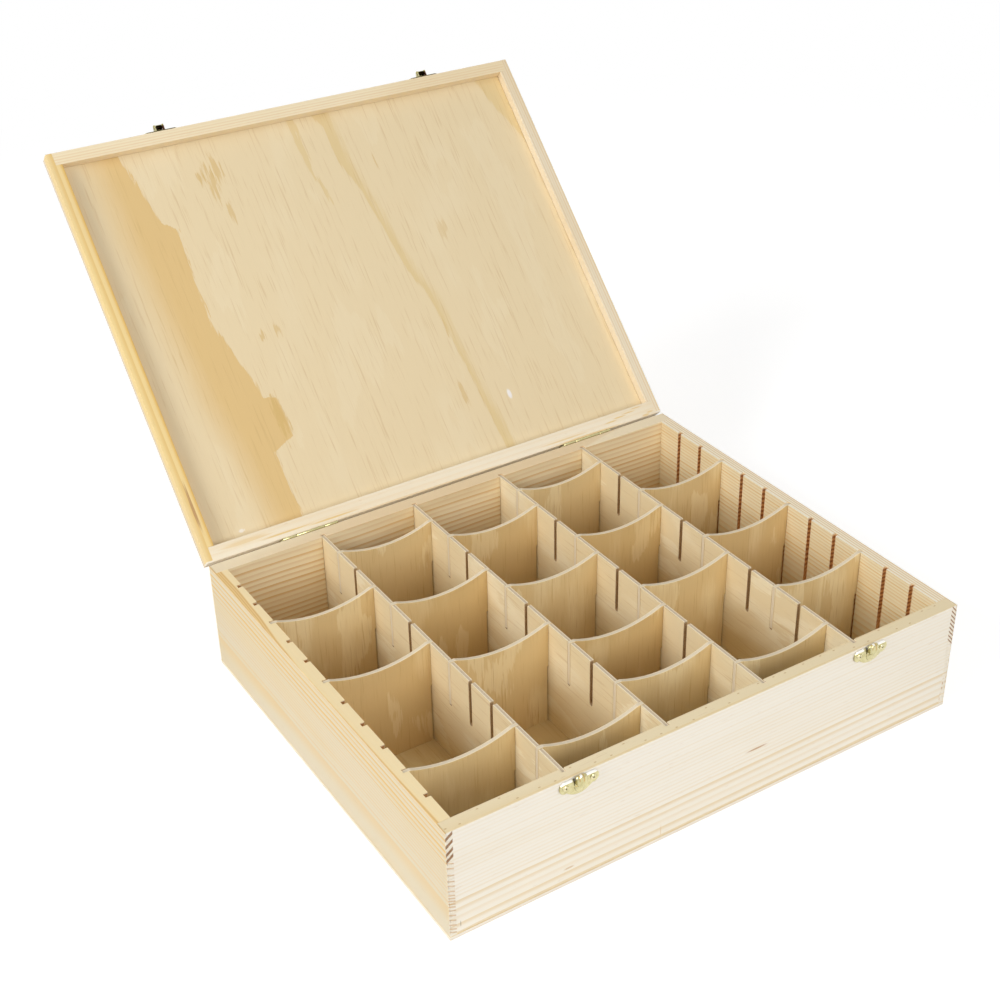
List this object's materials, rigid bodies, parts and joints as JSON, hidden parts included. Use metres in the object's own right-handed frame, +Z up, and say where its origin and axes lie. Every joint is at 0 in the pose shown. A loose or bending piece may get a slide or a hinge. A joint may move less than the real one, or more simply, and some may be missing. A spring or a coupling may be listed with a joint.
{
  "type": "trading card box",
  "caption": "Hinged wooden case with comb-jointed walls, a lift-out grid of slotted plywood dividers, curved-top cross dividers and two brass lever latches.",
  "frame": {"origin": "centre of the underside, on the surface the box stands on", "axes": "+Z up, +X to the right seen from the front, +Y towards the hinges; the lid is shown open"},
  "size_m": [0.42, 0.6037, 0.3392],
  "materials": {
    "pine_board": "bare sanded pine",
    "panel_plywood": "bare sanded plywood",
    "divider_plywood": "bare sanded plywood",
    "brass": "polished pressed brass"
  },
  "bodies": {
    "box": {"front_wall": "pine_board", "back_wall": "pine_board", "left_wall": "pine_board", "right_wall": "pine_board", "bottom_panel": "panel_plywood", "hinge_left_box_leaf": "brass", "hinge_right_box_leaf": "brass", "hinge_left_pin": "brass", "hinge_right_pin": "brass", "hinge_screw_box_1": "brass", "hinge_screw_box_2": "brass", "hinge_screw_box_3": "brass", "hinge_screw_box_4": "brass", "latch_left_catch": "brass", "latch_right_catch": "brass", "latch_screw_box_1": "brass", "latch_screw_box_2": "brass", "latch_screw_box_3": "brass", "latch_screw_box_4": "brass"},
    "lid": {"lid_front_rail": "pine_board", "lid_back_rail": "pine_board", "lid_left_rail": "pine_board", "lid_right_rail": "pine_board", "lid_panel": "panel_plywood", "hinge_left_lid_leaf": "brass", "hinge_right_lid_leaf": "brass", "hinge_screw_lid_1": "brass", "hinge_screw_lid_2": "brass", "hinge_screw_lid_3": "brass", "hinge_screw_lid_4": "brass", "latch_left_lid_plate": "brass", "latch_right_lid_plate": "brass", "latch_screw_lid_1": "brass", "latch_screw_lid_2": "brass", "latch_screw_lid_3": "brass", "latch_screw_lid_4": "brass"},
    "divider_grid": {"long_divider_1": "divider_plywood", "long_divider_2": "divider_plywood", "long_divider_3": "divider_plywood", "long_divider_4": "divider_plywood"},
    "cross_c1_s3": {"cross_divider_c1_s3": "divider_plywood"},
    "cross_c1_s6": {"cross_divider_c1_s6": "divider_plywood"},
    "cross_c1_s10": {"cross_divider_c1_s10": "divider_plywood"},
    "cross_c2_s1": {"cross_divider_c2_s1": "divider_plywood"},
    "cross_c2_s4": {"cross_divider_c2_s4": "divider_plywood"},
    "cross_c2_s7": {"cross_divider_c2_s7": "divider_plywood"},
    "cross_c2_s11": {"cross_divider_c2_s11": "divider_plywood"},
    "cross_c3_s2": {"cross_divider_c3_s2": "divider_plywood"},
    "cross_c3_s5": {"cross_divider_c3_s5": "divider_plywood"},
    "cross_c3_s8": {"cross_divider_c3_s8": "divider_plywood"},
    "cross_c3_s10": {"cross_divider_c3_s10": "divider_plywood"},
    "cross_c4_s1": {"cross_divider_c4_s1": "divider_plywood"},
    "cross_c4_s4": {"cross_divider_c4_s4": "divider_plywood"},
    "cross_c4_s7": {"cross_divider_c4_s7": "divider_plywood"},
    "cross_c4_s11": {"cross_divider_c4_s11": "divider_plywood"},
    "cross_c5_s3": {"cross_divider_c5_s3": "divider_plywood"},
    "cross_c5_s6": {"cross_divider_c5_s6": "divider_plywood"},
    "cross_c5_s9": {"cross_divider_c5_s9": "divider_plywood"},
    "lever_left": {"latch_left_lever": "brass"},
    "lever_right": {"latch_right_lever": "brass"}
  },
  "joints": [
    {"name": "lid_hinge", "type": "hinge", "parent": "box", "child": "lid", "pos_m": [0, 0.1733, 0.08925], "axis": [-1, 0, 0], "range_deg": [-134.15, 0]},
    {"name": "divider_grid_lift", "type": "slide", "parent": "box", "child": "divider_grid", "axis": [0, 0, 1], "range_m": [0, 0.09]},
    {"name": "cross_c1_s3_lift", "type": "slide", "parent": "divider_grid", "child": "cross_c1_s3", "axis": [0, 0, 1], "range_m": [0, 0.09]},
    {"name": "cross_c1_s6_lift", "type": "slide", "parent": "divider_grid", "child": "cross_c1_s6", "axis": [0, 0, 1], "range_m": [0, 0.09]},
    {"name": "cross_c1_s10_lift", "type": "slide", "parent": "divider_grid", "child": "cross_c1_s10", "axis": [0, 0, 1], "range_m": [0, 0.09]},
    {"name": "cross_c2_s1_lift", "type": "slide", "parent": "divider_grid", "child": "cross_c2_s1", "axis": [0, 0, 1], "range_m": [0, 0.09]},
    {"name": "cross_c2_s4_lift", "type": "slide", "parent": "divider_grid", "child": "cross_c2_s4", "axis": [0, 0, 1], "range_m": [0, 0.09]},
    {"name": "cross_c2_s7_lift", "type": "slide", "parent": "divider_grid", "child": "cross_c2_s7", "axis": [0, 0, 1], "range_m": [0, 0.09]},
    {"name": "cross_c2_s11_lift", "type": "slide", "parent": "divider_grid", "child": "cross_c2_s11", "axis": [0, 0, 1], "range_m": [0, 0.09]},
    {"name": "cross_c3_s2_lift", "type": "slide", "parent": "divider_grid", "child": "cross_c3_s2", "axis": [0, 0, 1], "range_m": [0, 0.09]},
    {"name": "cross_c3_s5_lift", "type": "slide", "parent": "divider_grid", "child": "cross_c3_s5", "axis": [0, 0, 1], "range_m": [0, 0.09]},
    {"name": "cross_c3_s8_lift", "type": "slide", "parent": "divider_grid", "child": "cross_c3_s8", "axis": [0, 0, 1], "range_m": [0, 0.09]},
    {"name": "cross_c3_s10_lift", "type": "slide", "parent": "divider_grid", "child": "cross_c3_s10", "axis": [0, 0, 1], "range_m": [0, 0.09]},
    {"name": "cross_c4_s1_lift", "type": "slide", "parent": "divider_grid", "child": "cross_c4_s1", "axis": [0, 0, 1], "range_m": [0, 0.09]},
    {"name": "cross_c4_s4_lift", "type": "slide", "parent": "divider_grid", "child": "cross_c4_s4", "axis": [0, 0, 1], "range_m": [0, 0.09]},
    {"name": "cross_c4_s7_lift", "type": "slide", "parent": "divider_grid", "child": "cross_c4_s7", "axis": [0, 0, 1], "range_m": [0, 0.09]},
    {"name": "cross_c4_s11_lift", "type": "slide", "parent": "divider_grid", "child": "cross_c4_s11", "axis": [0, 0, 1], "range_m": [0, 0.09]},
    {"name": "cross_c5_s3_lift", "type": "slide", "parent": "divider_grid", "child": "cross_c5_s3", "axis": [0, 0, 1], "range_m": [0, 0.09]},
    {"name": "cross_c5_s6_lift", "type": "slide", "parent": "divider_grid", "child": "cross_c5_s6", "axis": [0, 0, 1], "range_m": [0, 0.09]},
    {"name": "cross_c5_s9_lift", "type": "slide", "parent": "divider_grid", "child": "cross_c5_s9", "axis": [0, 0, 1], "range_m": [0, 0.09]},
    {"name": "lever_left_pivot", "type": "hinge", "parent": "lid", "child": "lever_left", "pos_m": [-0.11415, 0.41937, 0.33692], "axis": [-1, 0, 0], "range_deg": [-190, 0]},
    {"name": "lever_right_pivot", "type": "hinge", "parent": "lid", "child": "lever_right", "pos_m": [0.12735, 0.41937, 0.33692], "axis": [-1, 0, 0], "range_deg": [-190, 0]}
  ]
}
